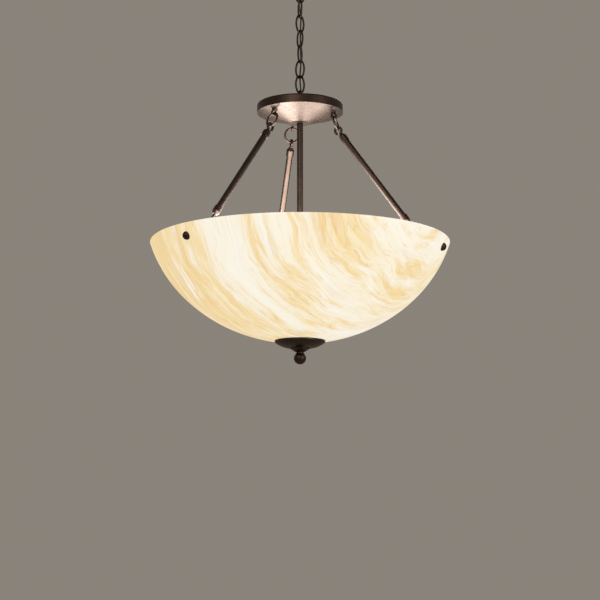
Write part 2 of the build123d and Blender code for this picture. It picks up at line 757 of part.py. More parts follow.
with BuildPart() as arm_top_hooks:
    for azimuth in arm_azimuths:
        plane = hook_plane(azimuth, top_bow, arm_rise)
        with BuildLine(plane) as hook_wire:
            top_hook_line(inner=1)
        with BuildSketch(Plane(origin=hook_wire.line @ 0, z_dir=hook_wire.line % 0)):
            Circle(hook_wire_radius)
        sweep()
        with BuildSketch(plane):
            with BuildLine():
                ferrule_outline(ferrule_nose)
            make_face()
        revolve(axis=Axis(plane.origin, plane.x_dir))
save(arm_top_hooks, "arm_top_hooks")

with BuildPart() as arm_bottom_hooks:
    for azimuth in arm_azimuths:
        plane = hook_plane(azimuth, bottom_hook_origin, arm_rise * -1)
        with BuildLine(plane) as hook_wire:
            bottom_hook_line(inner=-1)
        with BuildSketch(Plane(origin=hook_wire.line @ 0, z_dir=hook_wire.line % 0)):
            Circle(bottom_hook_wire_radius)
        sweep()
        with BuildSketch(plane):
            with BuildLine():
                ferrule_outline(bottom_hook_leg)
            make_face()
        revolve(axis=Axis(plane.origin, plane.x_dir))
save(arm_bottom_hooks, "arm_bottom_hooks")

tube_top = top_bow + arm_rise * ferrule_socket(ferrule_nose)
tube_bottom = bottom_hook_origin - arm_rise * ferrule_socket(bottom_hook_leg)
for number, azimuth in enumerate(arm_azimuths, start=1):
    with BuildPart() as arm_tube:
        with BuildSketch(seat_plane(azimuth, tube_bottom, arm_rise)):
            Circle(arm_tube_radius)
            Circle(arm_tube_radius - arm_tube_wall, mode=Mode.SUBTRACT)
        extrude(amount=(tube_top - tube_bottom).length)
    save(arm_tube, f"arm_tube_{number}")

# Bottom of the bowl: gaskets, washer, plate and finial
seat_gasket_bottom = bowl_level(bowl_wall, seat_gasket_radius) + fit_gap
seat_washer_bottom = seat_gasket_bottom + seat_gasket_thickness
seat_washer_top = seat_washer_bottom + seat_washer_thickness
with BuildPart() as bowl_seat_gasket:
    with BuildSketch(Plane.XY.offset(seat_gasket_bottom)):
        Circle(seat_gasket_radius)
        Circle(pipe_radius + fit_gap, mode=Mode.SUBTRACT)
    extrude(amount=seat_gasket_thickness)
save(bowl_seat_gasket, "bowl_seat_gasket")

with BuildPart() as bowl_seat_washer:
    with BuildSketch(Plane.XY.offset(seat_washer_bottom)):
        Circle(seat_washer_radius)
        Circle(pipe_radius + fit_gap, mode=Mode.SUBTRACT)
    extrude(amount=seat_washer_thickness)
save(bowl_seat_washer, "bowl_seat_washer")

plate_gasket_radius = plate_radius - plate_gasket_width
plate_gasket_edge = bowl_level(0, plate_radius) - fit_gap
plate_gasket_inside = bowl_level(0, plate_gasket_radius) - fit_gap
with BuildPart() as bottom_gasket:
    with BuildSketch(Plane.XZ):
        with BuildLine():
            Polyline(
                (plate_radius, plate_gasket_edge),
                (plate_radius, plate_gasket_edge - plate_gasket_thickness),
                (plate_gasket_radius, plate_gasket_edge - plate_gasket_thickness),
                (plate_gasket_radius, plate_gasket_inside),
                close=True,
            )
        make_face()
    revolve(axis=Axis.Z)
save(bottom_gasket, "bottom_gasket")

plate_top = plate_gasket_edge - plate_gasket_thickness
plate_edge = plate_top - plate_edge_height
plate_boss_top = plate_edge - plate_saucer_depth
plate_bottom = plate_boss_top - plate_boss_step - plate_boss_depth
saucer_lean = atan2(plate_saucer_depth, plate_radius - plate_boss_radius)
saucer_middle = Vector((plate_radius + plate_boss_radius) / 2, (plate_edge + plate_boss_top) / 2)
saucer_low = saucer_middle + Vector(sin(saucer_lean), -cos(saucer_lean)) * plate_bulge
with BuildPart() as bottom_plate:
    with BuildSketch(Plane.XZ):
        with BuildLine():
            ThreePointArc((plate_radius, plate_edge), saucer_low, (plate_boss_radius, plate_boss_top))
            Polyline(
                (plate_boss_radius, plate_boss_top),
                (plate_boss_radius, plate_boss_top - plate_boss_step),
                (plate_neck_radius, plate_bottom),
                (pipe_radius + fit_gap, plate_bottom),
                (pipe_radius + fit_gap, plate_bottom + plate_sheet),
                (plate_neck_radius - plate_sheet, plate_bottom + plate_sheet),
                (plate_boss_radius - plate_sheet, plate_boss_top),
                (plate_boss_radius - plate_sheet, plate_boss_top + plate_sheet),
            )
            ThreePointArc(
                (plate_boss_radius - plate_sheet, plate_boss_top + plate_sheet),
                saucer_low + Vector(0, plate_sheet),
                (plate_radius - plate_sheet, plate_edge + plate_sheet),
            )
            Polyline(
                (plate_radius - plate_sheet, plate_edge + plate_sheet),
                (plate_radius - plate_sheet, plate_top),
                (plate_radius, plate_top),
                (plate_radius, plate_edge),
            )
        make_face()
    revolve(axis=Axis.Z)
save(bottom_plate, "bottom_plate")

finial_top = plate_bottom - fit_gap
finial_ball_z = plate_bottom - finial_ball_drop
with BuildPart() as ball_finial:
    with Locations((0, 0, finial_ball_z)):
        Sphere(finial_ball_radius)
    with BuildSketch(Plane.XY.offset(finial_ball_z)):
        Circle(finial_neck_radius)
    extrude(amount=finial_top - finial_ball_z)
    with Locations((0, 0, finial_top)):
        Hole(pipe_radius + running_gap, depth=finial_bore_depth)
save(ball_finial, "ball_finial")

# Stem
rod_bottom = finial_top - finial_bore_depth + finial_bore_spare
rod_top = pan_collar_top - pan_sheet - fit_gap
with BuildPart() as centre_rod:
    with BuildSketch(Plane.XY.offset(rod_bottom)):
        Circle(pipe_radius)
        Circle(pipe_bore_radius, mode=Mode.SUBTRACT)
    extrude(amount=rod_top - rod_bottom)
save(centre_rod, "centre_rod")

cluster_top = rim_z - cluster_below_rim
cluster_bottom = cluster_top - cluster_height
lamp_axis_z = cluster_bottom + lamp_rise
with BuildPart() as stem_tube:
    with BuildSketch(Plane.XY.offset(cluster_top)):
        Circle(stem_radius)
        Circle(pipe_radius + fit_gap, mode=Mode.SUBTRACT)
    extrude(amount=pan_flat_z - cluster_top)
save(stem_tube, "stem_tube")

with BuildPart() as spacer_sleeve:
    with BuildSketch(Plane.XY.offset(seat_washer_top)):
        Circle(stem_radius)
        Circle(pipe_radius + fit_gap, mode=Mode.SUBTRACT)
    extrude(amount=cluster_bottom - seat_washer_top)
save(spacer_sleeve, "spacer_sleeve")


# Lamp cluster. Each lamp stands on an axis that leaves the stem and rises outwards.
def lamp_plane(azimuth):
    """Plane of a lamp: local x runs along its axis from the stem outwards."""
    heading = place(azimuth, Vector(cos(radians(lamp_tilt)), sin(radians(lamp_tilt))))
    return Plane(origin=(0, 0, lamp_axis_z), x_dir=heading, z_dir=radial_plane(azimuth).z_dir)


with BuildPart() as cluster_body:
    with BuildSketch(Plane.XY.offset(cluster_bottom)):
        Circle(cluster_radius)
    extrude(amount=cluster_height - cluster_sheet)
    offset(amount=-cluster_sheet, openings=cluster_body.faces().sort_by(Axis.Z)[-1])
    with Locations((0, 0, cluster_top)):
        Hole(pipe_radius + fit_gap, depth=cluster_height)
    for azimuth in lamp_azimuths:
        axis_plane = lamp_plane(azimuth)
        with BuildSketch(Plane(origin=axis_plane.origin, z_dir=axis_plane.x_dir)):
            Circle(socket_stem_radius + fit_gap)
        extrude(amount=2 * cluster_radius, mode=Mode.SUBTRACT)
save(cluster_body, "cluster_body")

with BuildPart() as cluster_cap:
    with BuildSketch(Plane.XY.offset(cluster_top - cluster_sheet)):
        Circle(cluster_radius)
        Circle(pipe_radius + fit_gap, mode=Mode.SUBTRACT)
    extrude(amount=cluster_sheet)
    with BuildSketch(Plane.XY.offset(cluster_top - cluster_sheet)):
        Circle(cluster_radius - cluster_sheet - fit_gap)
        Circle(cluster_radius - 2 * cluster_sheet - fit_gap, mode=Mode.SUBTRACT)
    extrude(amount=-cluster_cap_rim)
save(cluster_cap, "cluster_cap")

socket_stem_start = cluster_radius - socket_stem_inside
with BuildPart() as socket_stems:
    for azimuth in lamp_azimuths:
        axis_plane = lamp_plane(azimuth)
        stem_foot = axis_plane.from_local_coords((socket_stem_start, 0, 0))
        with BuildSketch(Plane(origin=stem_foot, z_dir=axis_plane.x_dir)):
            Circle(socket_stem_radius)
            Circle(pipe_bore_radius, mode=Mode.SUBTRACT)
        extrude(amount=socket_stem_length)
save(socket_stems, "socket_stems")

screw_shell_radius = bulb_base_radius + seat_gap
socket_bore_radius = screw_shell_radius + screw_shell_sheet + fit_gap
socket_radius = socket_bore_radius + socket_wall
socket_floor = socket_start + socket_back
socket_mouth = socket_start + socket_length
with BuildPart() as lamp_sockets:
    for azimuth in lamp_azimuths:
        axis_plane = lamp_plane(azimuth)
        with BuildSketch(axis_plane):
            with BuildLine():
                Polyline(
                    (socket_start, socket_stem_radius + fit_gap),
                    (socket_start, socket_radius - socket_edge),
                    (socket_start + socket_edge, socket_radius),
                    (socket_mouth - socket_edge, socket_radius),
                    (socket_mouth, socket_radius - socket_edge),
                    (socket_mouth, socket_bore_radius),
                    (socket_floor, socket_bore_radius),
                    (socket_floor, socket_stem_radius + fit_gap),
                    close=True,
                )
            make_face()
        revolve(axis=Axis(axis_plane.origin, axis_plane.x_dir))
save(lamp_sockets, "lamp_sockets")

with BuildPart() as socket_contacts:
    for azimuth in lamp_azimuths:
        axis_plane = lamp_plane(azimuth)
        shell_foot = axis_plane.from_local_coords((socket_floor, 0, 0))
        with BuildSketch(Plane(origin=shell_foot, z_dir=axis_plane.x_dir)):
            Circle(screw_shell_radius + screw_shell_sheet)
            Circle(screw_shell_radius, mode=Mode.SUBTRACT)
        extrude(amount=socket_mouth - socket_floor - screw_shell_inset)
        with BuildSketch(Plane(origin=shell_foot, z_dir=axis_plane.x_dir)):
            Circle(contact_radius)
        extrude(amount=contact_thickness)
save(socket_contacts, "socket_contacts")

# Bulbs. The neck widens in a straight line that meets the globe smoothly.
bulb_tip = socket_floor + contact_thickness + seat_gap
bulb_base_start = bulb_tip + bulb_tip_length + bulb_tip_taper
bulb_base_end = bulb_base_start + bulb_base_length
bulb_neck_end = bulb_base_end + bulb_neck_length
bulb_globe_x = bulb_base_end + bulb_globe_distance
neck_to_globe = sqrt((bulb_globe_x - bulb_neck_end) ** 2 + bulb_base_radius**2)
neck_slope = asin(bulb_globe_radius / neck_to_globe) - asin(bulb_base_radius / neck_to_globe)
globe_join_turn = 90 + degrees(neck_slope)
for number, azimuth in enumerate(lamp_azimuths, start=1):
    axis_plane = lamp_plane(azimuth)
    with BuildPart() as bulb:
        with BuildSketch(axis_plane):
            with BuildLine():
                globe = CenterArc((bulb_globe_x, 0), bulb_globe_radius, 0, globe_join_turn)
                Polyline(
                    globe @ 1,
                    (bulb_neck_end, bulb_base_radius),
                    (bulb_base_start, bulb_base_radius),
                    (bulb_base_start - bulb_tip_taper, bulb_tip_radius),
                    (bulb_tip, bulb_tip_radius),
                    (bulb_tip, 0),
                    globe @ 0,
                )
            make_face()
        revolve(axis=Axis(axis_plane.origin, axis_plane.x_dir))
    save(bulb, f"bulb_{number}")
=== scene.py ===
import json
import math

import bpy
import bmesh
from mathutils import Matrix, Vector


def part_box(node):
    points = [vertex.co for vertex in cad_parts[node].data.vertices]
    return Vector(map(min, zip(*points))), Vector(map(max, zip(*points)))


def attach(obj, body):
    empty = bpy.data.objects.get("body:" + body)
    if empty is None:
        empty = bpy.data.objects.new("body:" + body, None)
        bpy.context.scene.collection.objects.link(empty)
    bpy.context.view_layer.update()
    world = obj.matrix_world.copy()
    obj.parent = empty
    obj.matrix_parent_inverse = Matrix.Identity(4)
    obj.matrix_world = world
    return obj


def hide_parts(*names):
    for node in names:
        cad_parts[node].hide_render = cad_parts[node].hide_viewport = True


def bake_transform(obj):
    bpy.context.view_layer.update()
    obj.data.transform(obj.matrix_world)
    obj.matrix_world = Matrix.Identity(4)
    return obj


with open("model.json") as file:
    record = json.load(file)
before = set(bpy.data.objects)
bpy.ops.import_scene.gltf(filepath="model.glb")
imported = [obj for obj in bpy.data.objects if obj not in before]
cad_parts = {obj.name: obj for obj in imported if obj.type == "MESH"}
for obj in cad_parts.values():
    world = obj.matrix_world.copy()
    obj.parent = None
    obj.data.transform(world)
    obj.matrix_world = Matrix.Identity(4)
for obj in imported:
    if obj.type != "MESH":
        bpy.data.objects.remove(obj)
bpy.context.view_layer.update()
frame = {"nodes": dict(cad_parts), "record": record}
nodes = frame["nodes"]

scene = bpy.context.scene
scene.view_settings.view_transform = "Standard"

# Sizes that repeat the model's own, in metres and degrees
CHAIN_TURNS = (-75, 15, -70, 38, -56, 67, -30, 30, -60)
CORD_SIDES = (240, 245, 70, 80, 283, 288, 90, 75)
SEAT_GAP = 0.0003
CORD_GAP = 0.0006
CORD_RADIUS = 0.0016
CORD_STRAIGHT = 0.007
LOOP_WIRE_RADIUS = 0.0022
LINK_WIRE_RADIUS = 0.002
LOOP_BODY_TOP = -0.020
LOOP_BODY_BOTTOM = -0.0353
CEILING_WIREWAY = (0.0086, -165)
PAN_WIREWAY = (0.008, 30)
PAN_LOOP_COLLAR = 0.0042
CORD_END_DEPTH = 0.0007
LAMP_BELOW_RIM = 0.108
LAMP_TILT = math.radians(20)
LAMP_AZIMUTHS = (42, 162, 282)

# Levels read from the frame
RIM_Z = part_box("glass_bowl")[1].z
PAN_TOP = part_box("pan_cover")[1].z
LINK_COUNT = len(CHAIN_TURNS) - 2
link_tops = [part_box(f"chain_link_{number}")[1].z for number in range(1, LINK_COUNT + 1)]
LINK_PITCH = (link_tops[0] - link_tops[-1]) / (LINK_COUNT - 1)
FIRST_CROSSING_Z = link_tops[0] - 2 * LINK_WIRE_RADIUS - SEAT_GAP
LAMP_AXIS_Z = RIM_Z - LAMP_BELOW_RIM


def polar(radius, azimuth, height):
    """Point at a radius and an azimuth in degrees round the Z axis."""
    turn = math.radians(azimuth)
    return Vector((radius * math.cos(turn), radius * math.sin(turn), height))


# Materials


class Nodes:
    """A material's node tree, with short calls to add nodes and links."""

    def __init__(self, name):
        self.material = bpy.data.materials.new(name)
        self.material.use_nodes = True
        self.tree = self.material.node_tree
        self.shader = self.tree.nodes["Principled BSDF"]

    def add(self, kind, **settings):
        node = self.tree.nodes.new(kind)
        for key, value in settings.items():
            setattr(node, key, value)
        return node

    def link(self, source, target):
        self.tree.links.new(source, target)

    def feed(self, socket, value):
        """Link a socket to another node's output, or set it to a plain value."""
        if isinstance(value, bpy.types.NodeSocket):
            self.link(value, socket)
        else:
            socket.default_value = value

    def position(self, scale=(1, 1, 1)):
        """Place on the piece in metres, stretched by a scale."""
        coordinates = self.add("ShaderNodeTexCoord")
        mapping = self.add("ShaderNodeMapping")
        mapping.inputs["Scale"].default_value = scale
        self.link(coordinates.outputs["Object"], mapping.inputs["Vector"])
        return mapping.outputs["Vector"]

    def noise(self, vector, scale, detail=4.0, roughness=0.55, distortion=0.0):
        texture = self.add("ShaderNodeTexNoise")
        self.link(vector, texture.inputs["Vector"])
        texture.inputs["Scale"].default_value = scale
        texture.inputs["Detail"].default_value = detail
        texture.inputs["Roughness"].default_value = roughness
        texture.inputs["Distortion"].default_value = distortion
        return texture.outputs["Fac"]

    def ramp(self, value, *stops):
        """Colour ramp with stops of (place, colour)."""
        ramp = self.add("ShaderNodeValToRGB")
        elements = ramp.color_ramp.elements
        while len(elements) < len(stops):
            elements.new(0.5)
        for element, (place, colour) in zip(elements, stops):
            element.position = place
            element.color = (*colour, 1)
        self.link(value, ramp.inputs["Fac"])
        return ramp.outputs["Color"]

    def band(self, value, low, high, bottom=0.0, top=1.0, kind="SMOOTHSTEP"):
        """Step of a value from low to high, smooth unless another kind is given."""
        mapped = self.add("ShaderNodeMapRange", interpolation_type=kind)
        limits = {"From Min": low, "From Max": high, "To Min": bottom, "To Max": top}
        for name, number in limits.items():
            mapped.inputs[name].default_value = number
        self.link(value, mapped.inputs["Value"])
        return mapped.outputs["Result"]

    def math(self, operation, first, second=0.0):
        node = self.add("ShaderNodeMath", operation=operation)
        self.feed(node.inputs[0], first)
        self.feed(node.inputs[1], second)
        return node.outputs[0]

    def mix(self, factor, first, second, blend="MIX"):
        node = self.add("ShaderNodeMix", data_type="RGBA", blend_type=blend)
        self.feed(node.inputs[0], factor)
        self.feed(node.inputs[6], first)
        self.feed(node.inputs[7], second)
        return node.outputs[2]

    def bump(self, height, strength, distance):
        node = self.add("ShaderNodeBump")
        node.inputs["Strength"].default_value = strength
        node.inputs["Distance"].default_value = distance
        self.link(height, node.inputs["Height"])
        self.link(node.outputs["Normal"], self.shader.inputs["Normal"])

    def set(self, **values):
        """Set or link inputs of the main shader by name, with _ for a space."""
        for key, value in values.items():
            self.feed(self.shader.inputs[key.replace("_", " ")], value)


def bronze_material():
    """Satin bronze: dark copper-brown metal, cloudy, with rubbed patches and a fine grain."""
    made = Nodes("bronze_coat")
    place = made.position()
    cloud = made.noise(place, 26, 5, 0.6)
    rubbed = made.band(made.noise(place, 75, 6, 0.65, 0.6), 0.60, 0.74)
    tone = made.ramp(
        cloud,
        (0.30, (0.054, 0.036, 0.0275)),
        (0.55, (0.064, 0.0435, 0.0345)),
        (0.80, (0.076, 0.053, 0.043)),
    )
    tone = made.mix(made.math("MULTIPLY", rubbed, 0.25), tone, (0.118, 0.084, 0.069, 1))
    grain = made.noise(place, 1900, 2, 0.5)
    made.set(
        Base_Color=tone,
        Metallic=1.0,
        Roughness=made.band(made.noise(place, 120, 4), 0.3, 0.7, 0.38, 0.44),
    )
    made.bump(grain, 0.03, 0.0002)
    return made.material


def steel_material():
    """Zinc-plated steel: brushed streaks and dull spangles."""
    made = Nodes("zinc_plate")
    place = made.position()
    streaks = made.noise(made.position((40, 40, 900)), 1.0, 4, 0.6)
    tone = made.ramp(
        made.noise(place, 160, 4),
        (0.30, (0.34, 0.33, 0.30)),
        (0.70, (0.56, 0.55, 0.51)),
    )
    made.set(Base_Color=tone, Metallic=1.0, Roughness=made.band(streaks, 0.3, 0.7, 0.26, 0.48))
    made.bump(streaks, 0.08, 0.0003)
    return made.material


def brass_material():
    """Plain brass with a faint tarnish."""
    made = Nodes("plain_brass")
    place = made.position()
    tarnish = made.noise(place, 140, 5, 0.6)
    tone = made.ramp(tarnish, (0.35, (0.42, 0.27, 0.085)), (0.68, (0.66, 0.45, 0.17)))
    made.set(Base_Color=tone, Metallic=1.0, Roughness=made.band(tarnish, 0.3, 0.7, 0.42, 0.24))
    made.bump(made.noise(place, 900, 3), 0.06, 0.0003)
    return made.material


def rubber_material():
    """Grey-black gasket rubber."""
    made = Nodes("gasket_rubber")
    place = made.position()
    tone = made.ramp(
        made.noise(place, 300, 4),
        (0.3, (0.018, 0.018, 0.019)),
        (0.7, (0.036, 0.035, 0.034)),
    )
    made.set(Base_Color=tone, Roughness=made.band(made.noise(place, 90, 3), 0.3, 0.7, 0.66, 0.84))
    made.bump(made.noise(place, 2200, 2), 0.14, 0.0003)
    return made.material


def socket_material():
    """Dark moulded socket shell."""
    made = Nodes("socket_shell")
    place = made.position()
    tone = made.ramp(
        made.noise(place, 60, 4),
        (0.3, (0.017, 0.015, 0.013)),
        (0.7, (0.030, 0.026, 0.023)),
    )
    made.set(Base_Color=tone, Roughness=made.band(made.noise(place, 240, 3), 0.3, 0.7, 0.40, 0.56))
    made.bump(made.noise(place, 1400, 3), 0.10, 0.0003)
    return made.material


def cord_material():
    """Brown cord jacket with a soft sheen and faint ribs round it."""
    made = Nodes("cord_jacket_brown")
    place = made.position()
    tone = made.ramp(
        made.noise(place, 220, 4),
        (0.3, (0.022, 0.0125, 0.008)),
        (0.7, (0.040, 0.0235, 0.0155)),
    )
    made.set(Base_Color=tone, Roughness=made.band(made.noise(place, 500, 3), 0.3, 0.7, 0.42, 0.58))
    made.bump(made.noise(made.position((1, 1, 3.2)), 1100, 2), 0.12, 0.0003)
    return made.material


def bulb_material():
    """Frosted lamp glass, lit."""
    made = Nodes("frosted_lamp_glass")
    place = made.position()
    frost = made.noise(place, 420, 3)
    tone = made.ramp(frost, (0.3, (0.88, 0.83, 0.72)), (0.7, (0.93, 0.90, 0.82)))
    made.set(
        Base_Color=tone,
        Roughness=made.band(frost, 0.3, 0.7, 0.30, 0.42),
        Emission_Color=(1.0, 0.86, 0.62, 1),
        Emission_Strength=1.6,
    )
    made.bump(made.noise(place, 1800, 2), 0.08, 0.0002)
    return made.material


# Fan of lines that the glass's wisps lie along, seen from above: a line's lean, how the fan
# spreads to one side, the direction along a line, and the two ends of the fan in metres
FAN_LEAN = 1.07
FAN_SPREAD = 0.9
FAN_ALONG = (0.68, 0.73)
FAN_ENDS = (-0.75, 0.30)

# How much amber the sheet carries, from the right-hand side of the fan to its left
AMBER_LOAD = (
    (0.00, 0.40),
    (0.27, 0.30),
    (0.35, 0.62),
    (0.41, 0.46),
    (0.46, 0.36),
    (0.53, 0.66),
    (0.61, 0.20),
    (0.69, 0.76),
    (0.80, 1.0),
)


def art_glass_material():
    """Cream opalescent glass with amber wisps. It was one flat sheet before it sank into its
    mould, so the wisps lie along a fan of lines across the plan of the bowl. The glass also
    glows with painted light: an emission in its own colours stands in for the bulbs' light."""
    made = Nodes("streaked_art_glass_painted_glow")
    coordinates = made.add("ShaderNodeTexCoord")
    split = made.add("ShaderNodeSeparateXYZ")
    made.link(coordinates.outputs["Object"], split.inputs["Vector"])
    x, y = split.outputs["X"], split.outputs["Y"]

    def times(value, factor):
        return made.math("MULTIPLY", value, factor)

    def waver(scale, detail, reach):
        """Wandering of the lines to either side, over a reach in metres."""
        swing = made.math("SUBTRACT", made.noise(made.position(), scale, detail, 0.5), 0.5)
        return times(swing, reach)

    sway = made.math("ADD", waver(5.5, 2, 0.085), waver(20, 3, 0.014))
    lean = made.math("ADD", times(x, FAN_LEAN), times(times(x, x), FAN_SPREAD))
    across = made.math("ADD", made.math("SUBTRACT", y, lean), sway)
    along = made.math("ADD", times(x, FAN_ALONG[0]), times(y, FAN_ALONG[1]))

    def wisps(across_scale, along_scale, seed, detail, roughness, distortion):
        joined = made.add("ShaderNodeCombineXYZ")
        made.link(times(across, across_scale), joined.inputs["X"])
        made.link(times(along, along_scale), joined.inputs["Y"])
        joined.inputs["Z"].default_value = seed
        return made.noise(joined.outputs["Vector"], 1.0, detail, roughness, distortion)

    far = made.band(across, *FAN_ENDS, kind="LINEAR")
    density = made.ramp(far, *((place, (load,) * 3) for place, load in AMBER_LOAD))
    broad = wisps(12.0, 5.0, 3.1, 4, 0.55, 0.5)
    load = made.math("ADD", times(density, 0.50), times(broad, 0.50))
    push = times(made.math("SUBTRACT", load, 0.5), 0.42)
    middle = wisps(42.0, 8.5, 8.7, 6, 0.66, 0.5)
    fine = wisps(120.0, 19.0, 15.3, 5, 0.62, 0.35)
    hairs = wisps(60.0, 9.0, 40.1, 5, 0.6, 0.6)
    knots = wisps(40.0, 24.0, 21.9, 4, 0.6, 0.8)
    milk = wisps(30.0, 6.5, 30.3, 5, 0.62, 0.5)
    shade = wisps(26.0, 6.0, 51.7, 4, 0.6, 0.5)

    tone = made.mix(made.band(load, 0.30, 0.68), (1.0, 0.960, 0.85, 1), (0.975, 0.850, 0.575, 1))
    amber = made.band(made.math("ADD", middle, push), 0.48, 0.64)
    tone = made.mix(times(amber, 0.80), tone, (0.950, 0.715, 0.340, 1))
    fibres = made.band(made.math("ADD", fine, push), 0.53, 0.70)
    tone = made.mix(times(fibres, 0.50), tone, (0.890, 0.595, 0.240, 1))
    ridge = made.math("ABSOLUTE", made.math("SUBTRACT", hairs, 0.5))
    hair = times(made.band(ridge, 0.0, 0.020, 1.0, 0.0), made.band(load, 0.34, 0.60, 0.10, 1.0))
    tone = made.mix(times(hair, 0.42), tone, (0.70, 0.44, 0.185, 1))
    rust = times(made.band(knots, 0.60, 0.74), amber)
    tone = made.mix(times(rust, 0.70), tone, (0.86, 0.52, 0.14, 1))
    tone = made.mix(times(made.band(shade, 0.56, 0.72), 0.45), tone, (0.83, 0.745, 0.66, 1))
    tone = made.mix(times(made.band(milk, 0.53, 0.68), 0.80), tone, (1.0, 0.972, 0.90, 1))
    # Painted glow: the glass emits its own colours as light in place of the bulbs' light shining
    # through it, and its base colour is cut to 0.22 so the glow carries the colour
    made.set(
        Base_Color=made.mix(1.0, tone, (0.22, 0.22, 0.22, 1), "MULTIPLY"),
        Roughness=made.band(fine, 0.3, 0.7, 0.22, 0.34),
        Emission_Color=tone,
        Emission_Strength=0.88,
        Coat_Weight=0.2,
        Coat_Roughness=0.15,
    )
    made.bump(middle, 0.10, 0.0016)
    return made.material


bronze = bronze_material()
steel = steel_material()
brass = brass_material()
rubber = rubber_material()
socket_shell = socket_material()
cord_jacket = cord_material()
lamp_glass = bulb_material()
art_glass = art_glass_material()

SLOT_MATERIALS = {
    "bronze": bronze,
    "zinc_steel": steel,
    "brass": brass,
    "rubber": rubber,
    "socket_plastic": socket_shell,
    "cord_jacket": cord_jacket,
    "bulb_glass": lamp_glass,
    "art_glass": art_glass,
}
for subpart in frame["record"]["subparts"]:
    mesh = nodes[subpart["node"]].data
    mesh.materials.clear()
    mesh.materials.append(SLOT_MATERIALS[subpart["material_slot"]])


# Mesh helpers


def new_piece(name, mesh, material):
    """Object from a finished mesh, smooth, with its material."""
    piece = bpy.data.objects.new(name, mesh)
    scene.collection.objects.link(piece)
    mesh.materials.append(material)
    for face in mesh.polygons:
        face.use_smooth = True
    return piece


def ring_mesh(name, rings):
    """Closed tube through rings of points; a ring of one point closes an end."""
    made = bmesh.new()
    rows = [[made.verts.new(point) for point in ring] for ring in rings]
    for row, other in zip(rows, rows[1:]):
        count = max(len(row), len(other))
        for index in range(count):
            after = (index + 1) % count
            corners = []
            for vertex in (
                row[index % len(row)],
                row[after % len(row)],
                other[after % len(other)],
                other[index % len(other)],
            ):
                if vertex not in corners:
                    corners.append(vertex)
            made.faces.new(corners)
    bmesh.ops.recalc_face_normals(made, faces=made.faces)
    mesh = bpy.data.meshes.new(name)
    made.to_mesh(mesh)
    made.free()
    return mesh


def turned(outline, matrix, sides):
    """Rings of a turned form, from places along local x with a radius or a function of the turn."""
    rings = []
    for place, radius in outline:
        if radius == 0:
            rings.append([matrix @ Vector((place, 0, 0))])
            continue
        ring = []
        for index in range(sides):
            turn = 2 * math.pi * index / sides
            width = radius(turn) if callable(radius) else radius
            ring.append(matrix @ Vector((place, width * math.cos(turn), width * math.sin(turn))))
        rings.append(ring)
    return rings


def turned_piece(name, outline, matrix, sides, material):
    """Piece turned about local x, from its outline."""
    return new_piece(name, ring_mesh(name, turned(outline, matrix, sides)), material)


# Lamp cord: one smooth line from the ceiling loop to the pan, in one piece for each pivot


def crossing(number, height):
    """Point where the cord passes a crossing of two wires, midway between their planes."""
    upper, lower = CHAIN_TURNS[number], CHAIN_TURNS[number + 1]
    middles = [(upper + lower) / 2 + 90 * quarter for quarter in range(4)]
    middle = max(middles, key=lambda angle: math.cos(math.radians(angle - CORD_SIDES[number])))
    wire = LOOP_WIRE_RADIUS if number in (0, len(CORD_SIDES) - 1) else LINK_WIRE_RADIUS
    clear = wire + CORD_RADIUS + CORD_GAP
    return polar(clear / abs(math.sin(math.radians(middle - upper))), middle, height)


crossing_heights = [FIRST_CROSSING_Z - LINK_PITCH * number for number in range(len(CORD_SIDES))]
route = [
    polar(*CEILING_WIREWAY, LOOP_BODY_TOP + CORD_STRAIGHT),
    polar(*CEILING_WIREWAY, LOOP_BODY_BOTTOM - CORD_STRAIGHT),
]
for number, height in enumerate(crossing_heights):
    route.append(crossing(number, height + CORD_STRAIGHT))
    route.append(crossing(number, height - CORD_STRAIGHT))
route.append(polar(*PAN_WIREWAY, PAN_TOP + PAN_LOOP_COLLAR + 2 * CORD_RADIUS))
route.append(polar(*PAN_WIREWAY, PAN_TOP - CORD_END_DEPTH))

CORD_STEPS = 10
CORD_FACES = 20
curve = bpy.data.curves.new("cord_line", "CURVE")
curve.dimensions = "3D"
curve.resolution_u = CORD_STEPS
spline = curve.splines.new("NURBS")
spline.points.add(len(route) - 1)
for point, place in zip(spline.points, route):
    point.co = (*place, 1)
spline.order_u = 3
spline.use_endpoint_u = True
line_object = bpy.data.objects.new("cord_line", curve)
scene.collection.objects.link(line_object)
bpy.context.view_layer.update()
depsgraph = bpy.context.evaluated_depsgraph_get()
line_mesh = bpy.data.meshes.new_from_object(line_object.evaluated_get(depsgraph))
line = [vertex.co.copy() for vertex in line_mesh.vertices]
bpy.data.meshes.remove(line_mesh)
bpy.data.objects.remove(line_object)
bpy.data.curves.remove(curve)

cord_rings = []
across = Vector((1, 0, 0))
for index, place in enumerate(line):
    ahead = (line[min(index + 1, len(line) - 1)] - line[max(index - 1, 0)]).normalized()
    across = (across - ahead * across.dot(ahead)).normalized()
    other = ahead.cross(across)
    ring = []
    for step in range(CORD_FACES):
        turn = 2 * math.pi * step / CORD_FACES
        ring.append(place + CORD_RADIUS * (across * math.cos(turn) + other * math.sin(turn)))
    cord_rings.append(ring)

link_numbers = range(1, LINK_COUNT + 1)
cord_nodes = ["cord_run_top", *(f"cord_run_{number}" for number in link_numbers), "cord_run_bottom"]
cuts = [0]
for number in link_numbers:
    height = (crossing_heights[number - 1] + crossing_heights[number]) / 2
    cuts.append(min(range(len(line)), key=lambda index: abs(line[index].z - height)))
cuts.append(len(line) - 1)
for number in range(len(CORD_SIDES)):
    first, last = cuts[number], cuts[number + 1]
    rings = [[line[first]], *cord_rings[first : last + 1], [line[last]]]
    name = f"lamp_cord_{number + 1}"
    piece = new_piece(name, ring_mesh(name, rings), cord_jacket)
    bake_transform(piece)
    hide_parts(cord_nodes[number])
    if number == len(CORD_SIDES) - 1:
        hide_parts(cord_nodes[number + 1])


# Bulbs: frosted globe on a screw base, on the lamp's own axis

